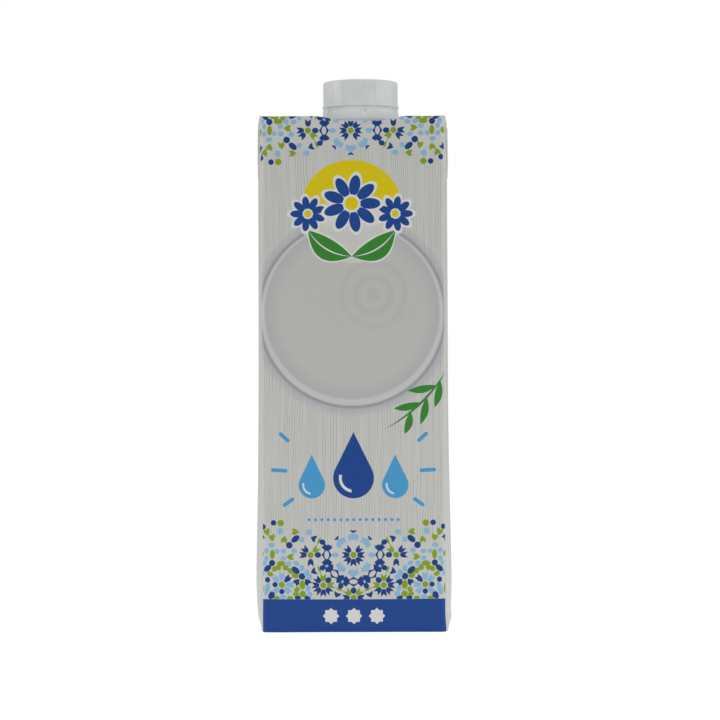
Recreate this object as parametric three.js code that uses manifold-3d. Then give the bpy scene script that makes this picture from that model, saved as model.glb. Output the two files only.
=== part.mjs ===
// A shut one-litre milk carton: a brick folded from printed board, with a screw cap on its flat top.
// Millimetres, +Z up. The origin is the middle of the base and the front panel faces -Y.

import * as THREE from "three";
import { mergeVertices } from "three/addons/utils/BufferGeometryUtils.js";
import Module from "manifold-3d";

const wasm = await Module();
wasm.setup();

// The brick between its creases, and the radii of those creases
const pack = { width: 73, depth: 67, height: 203 };
const crease = { upright: 2.2, top: 1.6, base: 0.7 };

// The filled panels swell all over, less towards the top, and sag out most just above the base
const swell = { belly: 1.65, baseFade: 5, topFade: 22, sag: 1.4, sagHeight: 20, frontShare: 0.8 };

// Trough pressed into the top from the front edge back, where the spout is welded on
const seat = { x: 3.3, y: -15, halfWidth: 9, back: 11, depth: 1.5, blend: 15, reach: 30 };

// Folded seals: a fin laid flat across the top and down both ears, which fold down the narrow sides
const fin = { width: 9, front: 2.5, thickness: 0.8, inset: 2, sink: 2 };
const ear = { inset: 2.4, drop: 34, tip: 6, proud: 1.2, lean: 0.02, sink: 3, bevel: 0.5, topGap: 0.9 };
const earFin = { drop: 22, thickness: 0.6 };

// The closure stacked on the seat
const flange = { radius: 15.9, height: 1.5, chamfer: 0.4, clearance: 0.3 };
const neck = { radius: 12.4 };
const band = { radius: 15.2, bore: 12.8, height: 3.7, chamfer: 0.35 };
const notch = { count: 6, width: 1.9, height: 1.5, turn: 6 };
const bridge = { count: 12, width: 1.1, depth: 1, radius: 14.2, turn: 21 };
const gap = 1;
const cap = { radius: 14.7, lipRadius: 15.2, lipHeight: 1.1, height: 10.6, rim: 0.7, rimSteps: 3 };
const rib = { count: 20, width: 0.8, proud: 0.35, sink: 1, top: 1.6, turn: 5 };

// How finely the surfaces are divided
const grid = { x: 18, y: 16, z: 30, edgeSteps: 2, grading: 1.4 };
const roundSegments = 56;

// Levels up the closure
const seatLevel = pack.height - seat.depth;
const bandLevel = seatLevel + flange.height;
const bandTop = bandLevel + band.height;
const capLevel = bandTop + gap;
const capTop = capLevel + cap.height;

const { clamp, degToRad, lerp, smoothstep } = THREE.MathUtils;

// Closed geometry to a solid that can be joined and cut: shared corners merged, collapsed triangles dropped
function toSolid(geometry) {
  const bare = geometry.clone();
  bare.deleteAttribute("normal");
  bare.deleteAttribute("uv");
  const merged = mergeVertices(bare);
  const corners = merged.index.array;
  const triangles = [];
  for (let i = 0; i < corners.length; i += 3) {
    const [a, b, c] = corners.slice(i, i + 3);
    if (a !== b && b !== c && c !== a) triangles.push(a, b, c);
  }
  const vertProperties = Float32Array.from(merged.attributes.position.array);
  const triVerts = Uint32Array.from(triangles);
  return new wasm.Manifold(new wasm.Mesh({ numProp: 3, vertProperties, triVerts }));
}

function toGeometry(solid) {
  const { vertProperties, triVerts } = solid.getMesh();
  const geometry = new THREE.BufferGeometry();
  geometry.setAttribute("position", new THREE.BufferAttribute(vertProperties, 3));
  geometry.setIndex(new THREE.BufferAttribute(triVerts, 1));
  geometry.computeVertexNormals();
  return geometry;
}

function movePoints(geometry, move) {
  const positions = geometry.attributes.position;
  const point = new THREE.Vector3();
  for (let i = 0; i < positions.count; i += 1) {
    move(point.fromBufferAttribute(positions, i));
    positions.setXYZ(i, point.x, point.y, point.z);
  }
  return geometry;
}

// One coordinate of a unit box's grid, from -0.5 to 0.5, spread from low to high: a few lines go round the
// crease at each end and the rest over the flat between, closer together at the low end if graded
function gridLine(t, count, low, high, lowRadius, highRadius, grading = 1) {
  const fromLow = Math.round((t + 0.5) * count);
  const fromHigh = count - fromLow;
  if (fromLow < grid.edgeSteps) return low + (lowRadius * fromLow) / grid.edgeSteps;
  if (fromHigh < grid.edgeSteps) return high - (highRadius * fromHigh) / grid.edgeSteps;
  const share = (fromLow - grid.edgeSteps) / (count - 2 * grid.edgeSteps);
  return lerp(low + lowRadius, high - highRadius, share ** grading);
}

// Pulls the points outside the inner box onto the rounded creases
function roundCreases(point) {
  const height = point.z > pack.height / 2 ? crease.top : crease.base;
  const radii = new THREE.Vector3(crease.upright, crease.upright, height);
  const innerX = pack.width / 2 - crease.upright;
  const innerY = pack.depth / 2 - crease.upright;
  const inner = new THREE.Vector3(
    clamp(point.x, -innerX, innerX),
    clamp(point.y, -innerY, innerY),
    clamp(point.z, crease.base, pack.height - crease.top),
  );
  point.sub(inner).divide(radii).normalize().multiply(radii).add(inner);
}

function swellAt(z) {
  const fade = smoothstep(z, 0, swell.baseFade) * smoothstep(pack.height - z, 0, swell.topFade);
  const low = z / swell.sagHeight;
  return swell.belly * fade + swell.sag * low * Math.exp(1 - low);
}

// Bows each panel out between its upright creases, which stay where they are
function swellPanels(point) {
  const across = point.x / (pack.width / 2);
  const along = point.y / (pack.depth / 2);
  const bow = swellAt(point.z);
  point.x += bow * across * (1 - along ** 2);
  point.y += bow * swell.frontShare * along * (1 - across ** 2);
}

function pressSeat(point) {
  const aside = Math.abs(point.x - seat.x) - seat.halfWidth;
  const behind = point.y - seat.y - seat.back;
  const pressed = (1 - smoothstep(aside, 0, seat.blend)) * (1 - smoothstep(behind, 0, seat.blend));
  point.z -= seat.depth * pressed * smoothstep(point.z, pack.height - seat.reach, pack.height);
}

function brickGeometry() {
  const geometry = new THREE.BoxGeometry(1, 1, 1, grid.x, grid.y, grid.z);
  const { width, depth, height } = pack;
  return movePoints(geometry, (point) => {
    point.set(
      gridLine(point.x, grid.x, -width / 2, width / 2, crease.upright, crease.upright),
      gridLine(point.y, grid.y, -depth / 2, depth / 2, crease.upright, crease.upright),
      gridLine(point.z, grid.z, 0, height, crease.base, crease.top, grid.grading),
    );
    roundCreases(point);
    swellPanels(point);
    pressSeat(point);
  });
}

// A flat outline across Y and Z, thickened from inside the right-hand panel out to `proud`, leaning out
// towards its lower end
function sidePlate(outline, proud) {
  const depth = ear.sink + proud - ear.bevel;
  const geometry = new THREE.ExtrudeGeometry(new THREE.Shape(outline), {
    depth,
    bevelThickness: ear.bevel,
    bevelSize: ear.bevel,
    bevelSegments: 2,
  });
  const outward = new THREE.Vector3(1, 0, 0);
  const across = new THREE.Vector3(0, 1, 0);
  const up = new THREE.Vector3(0, 0, 1);
  geometry.applyMatrix4(new THREE.Matrix4().makeBasis(across, up, outward));
  geometry.translate(pack.width / 2 - ear.sink, 0, pack.height - ear.topGap - ear.bevel);
  return movePoints(geometry, (point) => {
    point.x += ear.lean * (pack.height - point.z);
  });
}

// The triangle of doubled board that folds down a narrow side
function earPlate() {
  const half = pack.depth / 2 - ear.inset - ear.bevel;
  return sidePlate([
    new THREE.Vector2(-half, 0),
    new THREE.Vector2(-ear.tip / 2, -ear.drop),
    new THREE.Vector2(ear.tip / 2, -ear.drop),
    new THREE.Vector2(half, 0),
  ], ear.proud);
}

// The end of the seal, running on down the ear in line with the fin on top
function earFinPlate(side) {
  const front = side * (fin.front + ear.bevel);
  const back = side * (fin.front + fin.width - ear.bevel);
  return sidePlate([
    new THREE.Vector2(front, 0),
    new THREE.Vector2(front, -earFin.drop),
    new THREE.Vector2(back, -earFin.drop),
    new THREE.Vector2(back, 0),
  ], ear.proud + earFin.thickness);
}

function topFin() {
  const height = fin.sink + fin.thickness;
  const geometry = new THREE.BoxGeometry(pack.width - 2 * fin.inset, fin.width, height);
  return geometry.translate(0, fin.front + fin.width / 2, pack.height + fin.thickness - height / 2);
}

// Room for the flange where the trough's sides rise past it
function flangePocket() {
  const radius = flange.radius + flange.clearance;
  const geometry = new THREE.CylinderGeometry(radius, radius, pack.height, roundSegments);
  return geometry.rotateX(Math.PI / 2).translate(seat.x, seat.y, seatLevel + pack.height / 2);
}

function cartonGeometry() {
  let solid = toSolid(brickGeometry()).subtract(toSolid(flangePocket())).add(toSolid(topFin()));
  for (const side of [1, -1]) {
    for (const plate of [earPlate(), earFinPlate(side)]) {
      solid = solid.add(toSolid(side > 0 ? plate : plate.rotateZ(Math.PI)));
    }
  }
  return toGeometry(solid);
}

// Radius and height pairs, turned about the closure's own upright axis
function turned(profile) {
  const points = profile.map(([radius, height]) => new THREE.Vector2(radius, height));
  return new THREE.LatheGeometry(points, roundSegments).rotateX(Math.PI / 2);
}

// `count` upright blocks evenly round the axis, the first `turn` degrees from the front
function blocksRound({ count, turn }, size, radius, middle) {
  return Array.from({ length: count }, (_, i) => {
    const angle = degToRad(turn + (360 * i) / count - 90);
    const block = new THREE.BoxGeometry(size.depth, size.width, size.height);
    return toSolid(block.translate(radius, 0, middle).rotateZ(angle));
  });
}

function spoutGeometry() {
  return turned([
    [0, seatLevel],
    [flange.radius, seatLevel],
    [flange.radius, bandLevel - flange.chamfer],
    [flange.radius - flange.chamfer, bandLevel],
    [neck.radius, bandLevel],
    [neck.radius, capLevel],
    [0, capLevel],
  ]);
}

// Tamper ring with small notches in its upper edge, and thin bridges up to the cap
function bandGeometry() {
  const ring = turned([
    [band.bore, bandLevel],
    [band.radius, bandLevel],
    [band.radius, bandTop - band.chamfer],
    [band.radius - band.chamfer, bandTop],
    [band.bore, bandTop],
    [band.bore, bandLevel],
  ]);
  const thickness = band.radius - band.bore;
  const notchSize = { depth: thickness, width: notch.width, height: 2 * notch.height };
  const bridgeSize = { depth: bridge.depth, width: bridge.width, height: 2 * gap };
  let solid = toSolid(ring);
  for (const cut of blocksRound(notch, notchSize, band.radius, bandTop)) solid = solid.subtract(cut);
  for (const post of blocksRound(bridge, bridgeSize, bridge.radius, bandTop)) solid = solid.add(post);
  return toGeometry(solid);
}

function capGeometry() {
  const profile = [
    [0, capLevel],
    [cap.lipRadius, capLevel],
    [cap.lipRadius, capLevel + cap.lipHeight],
    [cap.radius, capLevel + cap.lipHeight + cap.lipRadius - cap.radius],
  ];
  for (let i = 0; i <= cap.rimSteps; i += 1) {
    const angle = (Math.PI / 2) * (i / cap.rimSteps);
    profile.push([cap.radius - cap.rim * (1 - Math.cos(angle)), capTop - cap.rim * (1 - Math.sin(angle))]);
  }
  profile.push([0, capTop]);
  const low = capLevel + cap.lipHeight / 2;
  const high = capTop - rib.top;
  const size = { depth: rib.proud + rib.sink, width: rib.width, height: high - low };
  const radius = cap.radius + rib.proud - size.depth / 2;
  let solid = toSolid(turned(profile));
  for (const ridge of blocksRound(rib, size, radius, (low + high) / 2)) solid = solid.add(ridge);
  return toGeometry(solid);
}

const board = new THREE.MeshStandardMaterial({ color: 0xe6e7e4, roughness: 0.5, metalness: 0 });
const spoutPlastic = new THREE.MeshStandardMaterial({ color: 0xe2e3e2, roughness: 0.45, metalness: 0 });
const bandPlastic = new THREE.MeshStandardMaterial({ color: 0xe8ebeb, roughness: 0.4, metalness: 0 });
const capPlastic = new THREE.MeshStandardMaterial({ color: 0xeaeded, roughness: 0.4, metalness: 0 });

function namedMesh(name, geometry, material) {
  const mesh = new THREE.Mesh(geometry, material);
  mesh.name = name;
  return mesh;
}

// The closure stands over the seat, off the pack's middle
const closure = new THREE.Group();
closure.position.set(seat.x, seat.y, 0);
closure.add(
  namedMesh("spout", spoutGeometry(), spoutPlastic),
  namedMesh("tamper_band", bandGeometry(), bandPlastic),
  namedMesh("cap", capGeometry(), capPlastic),
);

const milkCarton = new THREE.Group();
milkCarton.add(namedMesh("carton", cartonGeometry(), board), closure);

export default milkCarton;
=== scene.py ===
import math

import bpy
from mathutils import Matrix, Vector


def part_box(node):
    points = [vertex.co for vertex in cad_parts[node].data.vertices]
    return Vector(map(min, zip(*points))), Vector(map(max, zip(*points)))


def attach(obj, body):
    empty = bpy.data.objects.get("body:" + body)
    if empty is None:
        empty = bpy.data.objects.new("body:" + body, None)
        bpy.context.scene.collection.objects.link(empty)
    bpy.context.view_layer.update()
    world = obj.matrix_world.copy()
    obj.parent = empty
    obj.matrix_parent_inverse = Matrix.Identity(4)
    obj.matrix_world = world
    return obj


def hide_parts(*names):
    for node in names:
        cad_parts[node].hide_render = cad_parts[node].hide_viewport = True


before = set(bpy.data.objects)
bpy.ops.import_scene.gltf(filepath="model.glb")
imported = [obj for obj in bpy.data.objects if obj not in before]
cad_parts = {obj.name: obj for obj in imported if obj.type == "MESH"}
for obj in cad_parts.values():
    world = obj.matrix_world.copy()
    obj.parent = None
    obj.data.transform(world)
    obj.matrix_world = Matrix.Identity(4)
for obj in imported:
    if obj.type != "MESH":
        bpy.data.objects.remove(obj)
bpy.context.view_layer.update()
mm = 0.001
print("frame loaded:", ", ".join(sorted(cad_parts)))


class Wire:  # a node's socket: sums on it add Math nodes, in shaders and in shape trees alike
    def __init__(self, tree, socket):
        self.tree = tree
        self.socket = socket

    @classmethod
    def made(cls, tree, kind, settings=None, sockets=None, out=0):
        node = tree.nodes.new(kind)
        for name, value in (settings or {}).items():
            if name == "stops":
                cls.setStops(node.color_ramp, value)
            else:
                setattr(node, name, value)
        for key, value in (sockets or {}).items():
            if isinstance(value, Wire):
                tree.links.new(value.socket, node.inputs[key])
            else:
                node.inputs[key].default_value = value
        return cls(tree, node.outputs[out])

    @staticmethod
    def setStops(ramp, stops):
        while len(ramp.elements) < len(stops):
            ramp.elements.new(0.5)
        for element, (place, level) in zip(ramp.elements, stops):
            element.position = place
            element.color = (1, 1, 1, level)

    def maths(self, operation, *values, clamp=False):
        settings = {"operation": operation, "use_clamp": clamp}
        return Wire.made(self.tree, "ShaderNodeMath", settings, dict(enumerate(values)))

    def __add__(self, other):
        return self.maths("ADD", self, other)

    def __radd__(self, other):
        return self.maths("ADD", other, self)

    def __sub__(self, other):
        return self.maths("SUBTRACT", self, other)

    def __rsub__(self, other):
        return self.maths("SUBTRACT", other, self)

    def __mul__(self, other):
        return self.maths("MULTIPLY", self, other)

    def __rmul__(self, other):
        return self.maths("MULTIPLY", other, self)

    def __truediv__(self, other):
        return self.maths("DIVIDE", self, other)

    def __rtruediv__(self, other):
        return self.maths("DIVIDE", other, self)

    def __pow__(self, other):
        return self.maths("POWER", self, other)

    def __abs__(self):
        return self.maths("ABSOLUTE", self)

    def __lt__(self, other):
        return self.maths("LESS_THAN", self, other)

    def __gt__(self, other):
        return self.maths("GREATER_THAN", self, other)


def larger(first, second):
    return first.maths("MAXIMUM", first, second)


def smaller(first, second):
    return first.maths("MINIMUM", first, second)


def distance(x, y):
    flat = joined(x.tree, x, y, 0.0)
    return Wire.made(x.tree, "ShaderNodeVectorMath", {"operation": "LENGTH"}, {0: flat}, "Value")


def smoothStep(value, low, high):
    sockets = {0: value, 1: low, 2: high}
    return Wire.made(value.tree, "ShaderNodeMapRange", {"interpolation_type": "SMOOTHSTEP"}, sockets)


def parted(vector):
    node = vector.tree.nodes.new("ShaderNodeSeparateXYZ")
    vector.tree.links.new(vector.socket, node.inputs[0])
    return [Wire(vector.tree, socket) for socket in node.outputs]


def joined(tree, x, y, z):
    return Wire.made(tree, "ShaderNodeCombineXYZ", None, {0: x, 1: y, 2: z})


def linear(code, gain=1.0):  # a hex colour as linear light
    parts = [int(code[i:i + 2], 16) / 255 for i in (0, 2, 4)]
    return tuple(gain * (c / 12.92 if c < 0.04045 else ((c + 0.055) / 1.055) ** 2.4) for c in parts) + (1,)


def blended(first, second, share):  # colours, or wires of colour
    tree = share.tree
    settings = {"data_type": "RGBA", "clamp_factor": True}
    return Wire.made(tree, "ShaderNodeMix", settings, {0: share, 6: first, 7: second}, 2)


def noise(vector, scale, detail=2.0, out=0):
    sockets = {"Vector": vector, "Scale": scale, "Detail": detail}
    return Wire.made(vector.tree, "ShaderNodeTexNoise", None, sockets, out)


def newMaterial(name, roughness, specular=0.5):
    material = bpy.data.materials.new(name)
    material.use_nodes = True
    shader = material.node_tree.nodes["Principled BSDF"]
    shader.inputs["Roughness"].default_value = roughness
    shader.inputs["Specular IOR Level"].default_value = specular
    return material, material.node_tree, shader


def feed(shader, name, wire):
    wire.tree.links.new(wire.socket, shader.inputs[name])


def bumped(height, strength, reach):
    sockets = {"Strength": strength, "Distance": reach, "Height": height}
    return Wire.made(height.tree, "ShaderNodeBump", None, sockets, "Normal")


# The carton's print. Sizes are millimetres on the flat sheet: x across a panel from its middle, v up it.

brick = {
    "width": 73.0, "depth": 67.0, "height": 203.5,  # between the creases
    "upright": 2.2, "top": 0.9, "base": 0.7,  # crease radii
    "belly": 1.65, "baseFade": 5.0, "topFade": 22.0,  # swell of the filled panels
    "sag": 1.4, "sagHeight": 20.0, "frontShare": 0.8,
    "seatX": 3.3, "seatY": -15.0, "seatWidth": 9.0, "seatBack": 11.0,  # trough under the spout
    "seatDepth": 1.8, "seatBlend": 12.0, "seatReach": 30.0,
    "seatNarrow": 3.0, "seatFront": 22.0,  # it narrows towards the front edge
    "footSpread": 1.5, "footReach": 8.0, "creaseShare": 0.3,  # the foot's right edge stands out a little
    "ripple": 0.12, "rippleScale": 0.045,  # unevenness of the board
}
brickGrid = {"across": 75, "deep": 69, "up": 161}

halfWidth = brick["width"] / 2
halfDepth = brick["depth"] / 2

inks = {
    "board": linear("e2e2dd"),
    "grain": linear("c8c8c4"),
    "navy": linear("1a4d9f"),
    "tileNavy": linear("184691"),
    "sky": linear("9bccf0"),
    "dash": linear("52aee6"),
    "green": linear("96b41c"),
    "leaf": linear("3c9434"),
    "yellow": linear("f2dc00"),
    "white": linear("f6f6f3"),
    "milk": linear("d5d6d1"),
    "milkShade": linear("b9bbc6"),
    "milkRim": linear("dfdfdf"),
    "rim": linear("adadb3"),
}
inkEdge = 0.12  # how soft the edge of a printed shape is


def covers(depth):  # share of ink from the depth inside a shape's edge
    return depth.maths("MULTIPLY_ADD", depth, 1 / inkEdge, 0.5, clamp=True)


def foldRound(x, y, count):  # folds the plane about its middle to one petal of `count`: along it, and off it
    radius = distance(x, y)
    angle = x.maths("PINGPONG", x.maths("ARCTAN2", y, x), math.pi / count)
    return radius * x.maths("COSINE", angle), radius * x.maths("SINE", angle)


def turnedBy(x, y, degrees):
    cosine = math.cos(math.radians(degrees))
    sine = math.sin(math.radians(degrees))
    return x * cosine + y * sine, y * cosine - x * sine


def disc(x, y, radius):
    return radius - distance(x, y)


def oval(x, y, halfLength, halfBreadth):
    return (1 - distance(x / halfLength, y / halfBreadth)) * min(halfLength, halfBreadth)


def rhomb(x, y, halfLength, halfBreadth):
    size = halfLength * halfBreadth / math.hypot(halfLength, halfBreadth)
    return (1 - abs(x) / halfLength - abs(y) / halfBreadth) * size


def dashShape(x, y, halfLength, halfBreadth):
    return halfBreadth - distance(larger(abs(x) - halfLength, 0.0), y)


def dropShape(x, y, radius, apex):  # round below, drawn to a point `apex` above the middle of the round
    lean = math.tan(math.asin(radius / apex))
    cone = smaller((apex - y) * lean - abs(x), y - radius * radius / apex)
    return larger(disc(x, y, radius), cone)


def leafShape(x, y, length, breadth, bend):  # from the origin along x, bending towards y
    share = x / length
    swelling = share * (1 - share) * 4
    return swelling * (breadth / 2) - abs(y - swelling * bend)


def forkedPetal(along, aside, petal):  # a tile widening from its root to two tips
    inner = (along - petal["root"]) * (petal["breadth"] / (petal["shoulder"] - petal["root"])) - aside
    narrowing = (petal["tipBreadth"] - petal["breadth"]) / (petal["tip"] - petal["shoulder"])
    outer = (along - petal["shoulder"]) * narrowing + petal["breadth"] - aside
    fork = aside * ((petal["tip"] - petal["notch"]) / petal["tipBreadth"]) + petal["notch"] - along
    shape = smaller(smaller(inner, outer), fork)
    return smaller(shape, along - petal["start"]) if "start" in petal else shape


zellige = {
    "lowerRow": 30.8, "upperRow": 197.6,  # heights of the middle rosettes
    "depth": 17.4,  # how far the pattern runs outwards from its row
    "shift": 0.15, "upperShift": 0.5,  # it lies a little left of the panel's middle, the upper one more
    "upperTilt": 0.004, "upperBow": 0.00037,  # which rises towards its ends, most on the right
    "wrap": 2.2, "wrapFrom": 168.0,  # and runs a little way round the upright creases
    "ring": 16.8, "crownRing": 11.2, "crownTurn": 112, "eyeRing": 10.5, "budRing": 16.7,
    "diamondRing": 14.6, "tulipRing": 8.7, "hub": 1.2,
    "eye": (0.93, 1.6), "eyeFrame": (2.0, 2.9), "diamond": (0.55, 2.0),  # half lengths and half breadths
    "petal": {"start": 1.6, "root": 0.4, "shoulder": 2.65, "breadth": 1.09, "tip": 4.6,
              "tipBreadth": 1.15, "notch": 3.5},
    "outerPetal": {"start": 1.6, "root": 0.5, "shoulder": 3.2, "breadth": 1.12, "tip": 5.0,
                   "tipBreadth": 0.9, "notch": 4.2},
    "crown": {"start": 0.1, "root": -1.0, "shoulder": 1.3, "breadth": 2.15, "tip": 2.6,
              "tipBreadth": 0.8, "notch": 2.3},
    "tulip": {"root": 0.0, "shoulder": 1.3, "breadth": 2.3, "tip": 3.4, "tipBreadth": 1.6, "notch": 2.0},
    "bud": {"root": -1.5, "shoulder": -0.2, "breadth": 1.15, "tip": 0.9, "tipBreadth": 1.5, "notch": 0.5},
    "fork": {"root": -1.6, "shoulder": -0.1, "breadth": 1.2, "tip": 1.45, "tipBreadth": 1.15, "notch": 0.8},
    "outerX": 28.2, "outerRow": -11.7,
    "ringOthers": {135: "green", 180: None},  # petals with another ink or none, by turn
    "outerOthers": {135: "tileNavy", 0: None, 270: None},
    "bareTurns": [-45, 90, 225], "bareReach": 5.2,  # petals left out of the ring's rosettes on the row
    # how far the inner tiles reach in from the row, by the distance from the panel's middle
    "limitReach": 40.0, "limitHeight": 20.0,
    "limit": [(0, 10.1), (1.1, 10.1), (1.3, 8.8), (2.5, 8.8), (2.7, 7.6), (7.2, 7.4), (7.6, 3.8), (9.4, 3.8),
              (9.8, 4.3), (10.9, 4.3), (11.3, 6.7), (12.9, 6.9), (14.4, 8.0), (17.2, 8.6), (18.0, 10.0)],
}

# Oval tiles by ink: place, half length, half breadth, turn. Places are along and off a spoke for the inner
# ones, and for the outer ones across from the panel's middle and inwards from the row.
spokeTiles = {
    "sky": [(7.15, 0, 1.35, 1.0, 0)],
    "tileNavy": [(13.95, 0, 1.27, 1.1, 0)],
}
betweenTiles = {
    "tileNavy": [(13.1, 0, 1.25, 1.05, 0)],
    "sky": [(11.2, 0, 0.5, 0.5, 0)],
}
outerTiles = {
    "sky": [
        (17.45, 8.9, 1.2, 1.1, 0), (20.2, 6.0, 1.05, 1.1, 0), (23.3, 1.65, 1.15, 1.0, 0),
        (27.5, 1.4, 1.1, 1.0, 0), (27.6, -1.4, 1.1, 0.95, 0), (30.1, 1.4, 0.95, 0.95, 0),
        (32.2, 3.8, 1.25, 1.0, 0), (34.2, 1.6, 1.0, 1.05, 0), (34.2, -1.4, 0.9, 1.05, 0),
        (35.1, -3.3, 0.95, 1.0, 0), (25.4, -3.4, 1.1, 1.1, 0), (22.4, -3.3, 1.25, 0.95, 25),
        (20.2, -5.2, 1.0, 1.3, 0), (18.4, -7.0, 1.4, 1.0, -60), (17.3, -8.6, 1.1, 1.25, 0),
        (28.7, 9.3, 1.15, 1.3, 0), (34.0, -13.4, 1.1, 2.6, 15), (17.2, -15.4, 1.05, 1.1, 0),
        (17.9, -13.2, 1.0, 1.25, 0), (35.7, -7.2, 0.7, 1.4, 0), (27.7, -16.5, 1.25, 0.9, 0),
    ],
    "green": [
        (31.9, 0.2, 0.97, 1.87, 0), (36.7, 0.4, 1.4, 1.3, 0), (28.5, -3.4, 1.7, 1.05, 0),
        (31.0, -5.5, 1.25, 1.0, -35), (29.5, -5.0, 1.1, 1.0, 60), (26.7, -5.0, 1.15, 1.05, -60),
        (24.8, -6.3, 1.35, 1.0, 40), (22.9, -8.1, 1.35, 1.05, 20), (32.8, -7.5, 1.25, 0.95, 30),
        (20.1, -11.7, 1.15, 1.8, 0), (20.0, -15.3, 1.3, 1.25, 0), (22.2, -13.6, 1.2, 0.95, -40),
        (22.6, -15.4, 1.2, 0.9, 0), (28.55, 12.5, 1.28, 1.28, 0), (24.9, -17.0, 1.2, 0.85, 0),
        (30.4, -16.9, 1.4, 0.75, 0), (36.3, -13.4, 0.8, 2.1, 0),
    ],
    "tileNavy": [
        (25.2, 3.8, 1.3, 1.3, 0), (22.8, 6.3, 1.85, 1.15, 140), (31.4, 12.6, 1.08, 1.1, 0),
        (35.5, 11.0, 1.05, 1.1, 0), (32.0, -3.2, 1.2, 1.25, 0), (33.8, -5.3, 1.7, 1.1, 140),
        (22.7, -6.0, 1.85, 1.15, 42), (20.2, -8.4, 1.3, 1.3, 0), (33.8, -9.8, 1.0, 1.1, 0),
        (32.1, -15.7, 1.9, 1.2, 125), (21.9, -16.8, 1.25, 0.8, 0), (18.1, -16.8, 1.25, 0.9, 0),
        (30.85, -11.7, 1.05, 1.05, 0), (28.2, -14.4, 1.05, 1.05, 0),
    ],
}
forkTiles = [  # ink, place, heading of the two tips
    ("green", 24.8, -0.8, 180), ("green", 27.2, 6.0, -80), ("green", 22.9, 9.1, 5), ("green", 32.0, 6.8, 80),
    ("green", 34.0, 9.0, 75), ("tileNavy", 22.3, -10.6, -50), ("tileNavy", 18.1, -10.6, -130),
    ("tileNavy", 36.5, 6.9, 225),
]


def tilePlace(place, x, y, turn, scaleX=1.0, scaleY=1.0):  # along and off its axes; the place ends in a 1
    cosine = math.cos(math.radians(turn))
    sine = math.sin(math.radians(turn))
    ways = [
        (cosine / scaleX, sine / scaleX, -(x * cosine + y * sine) / scaleX),
        (-sine / scaleY, cosine / scaleY, (x * sine - y * cosine) / scaleY),
    ]
    dot = {"operation": "DOT_PRODUCT"}
    return [Wire.made(place.tree, "ShaderNodeVectorMath", dot, {0: place, 1: way}, "Value") for way in ways]


def addTile(tiles, ink, depth):
    tiles[ink] = larger(tiles[ink], depth) if ink in tiles else depth


def addOvals(tiles, place, ovals):
    for ink, rows in ovals.items():
        for x, y, halfLength, halfBreadth, turn in rows:
            reach = distance(*tilePlace(place, x, y, turn, halfLength, halfBreadth))
            size = min(halfLength, halfBreadth)
            addTile(tiles, ink, reach.maths("MULTIPLY_ADD", reach, -size, size))


def addForks(tiles, place, rows):
    for ink, x, y, heading in rows:
        along, aside = tilePlace(place, x, y, heading)
        addTile(tiles, ink, forkedPetal(along, abs(aside), zellige["fork"]))


def wedge(x, y, turn):  # depth inside the eighth of the plane that lies this way
    wayX, wayY = turnedBy(x, y, turn)
    return wayX * math.tan(math.pi / 8) - abs(wayY)


def addRosette(tiles, x, y, shape, petalInk, others):
    addTile(tiles, "green", disc(x, y, zellige["hub"]))
    along, aside = foldRound(x, y, 8)
    petal = forkedPetal(along, aside, shape)
    for turn, ink in others.items():
        inside = wedge(x, y, turn)
        if ink:
            addTile(tiles, ink, smaller(petal, inside))
        petal = smaller(petal, inside * -1)
    addTile(tiles, petalInk, petal)


def innerLimit(x, row):  # depth inside the ground that the inner tiles may cover
    wide = zellige["limitReach"]
    tall = zellige["limitHeight"]
    stops = [(place / wide, level / tall) for place, level in zellige["limit"]]
    ramp = Wire.made(x.tree, "ShaderNodeValToRGB", {"stops": stops}, {0: x / wide}, "Alpha")
    limit = ramp * tall - row
    ringX = x - zellige["ring"]
    reach = distance(ringX, row)
    away = larger(reach - zellige["bareReach"], zellige["hub"] - reach)
    for turn in zellige["bareTurns"]:
        limit = smaller(limit, larger(away, wedge(ringX, row, turn) * -1))
    return limit


def innerTiles(x, row):  # depth inside the tiles of each ink: an eightfold figure round the panel's middle
    tiles = {}
    radius = distance(x, row)
    angle = x.maths("PINGPONG", x.maths("ARCTAN2", row, x), math.pi / 8)
    spokeX = radius * x.maths("COSINE", angle)
    spokeY = radius * x.maths("SINE", angle)
    betweenX = radius * x.maths("COSINE", math.pi / 8 - angle)
    betweenY = radius * x.maths("SINE", math.pi / 8 - angle)
    between = joined(x.tree, betweenX, betweenY, 1.0)

    addTile(tiles, "green", zellige["hub"] - radius)
    petals = forkedPetal(spokeX, spokeY, zellige["petal"])
    addTile(tiles, "tileNavy", smaller(petals, wedge(x, row, 90) * -1))  # none points inwards
    ringX = spokeX - zellige["ring"]
    addRosette(tiles, ringX, spokeY, zellige["petal"], "tileNavy", zellige["ringOthers"])
    tulip = forkedPetal(zellige["tulipRing"] - spokeX, spokeY, zellige["tulip"])
    addTile(tiles, "sky", smaller(tulip, wedge(x, row, 0) * -1))  # none on the row itself
    eyeX = spokeX - zellige["eyeRing"]
    surround = rhomb(eyeX, spokeY, *zellige["eyeFrame"])
    addTile(tiles, "tileNavy", smaller(surround, oval(eyeX, spokeY, *zellige["eye"]) * -1))
    along, aside = tilePlace(between, zellige["crownRing"], 0, zellige["crownTurn"])
    addTile(tiles, "tileNavy", forkedPetal(along, abs(aside), zellige["crown"]))
    addTile(tiles, "tileNavy", forkedPetal(zellige["budRing"] - betweenX, betweenY, zellige["bud"]))
    addTile(tiles, "green", rhomb(betweenX - zellige["diamondRing"], betweenY, *zellige["diamond"]))
    addOvals(tiles, joined(x.tree, spokeX, spokeY, 1.0), spokeTiles)
    addOvals(tiles, between, betweenTiles)
    limit = innerLimit(x, row)
    return {ink: smaller(depth, limit) for ink, depth in tiles.items()}


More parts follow.
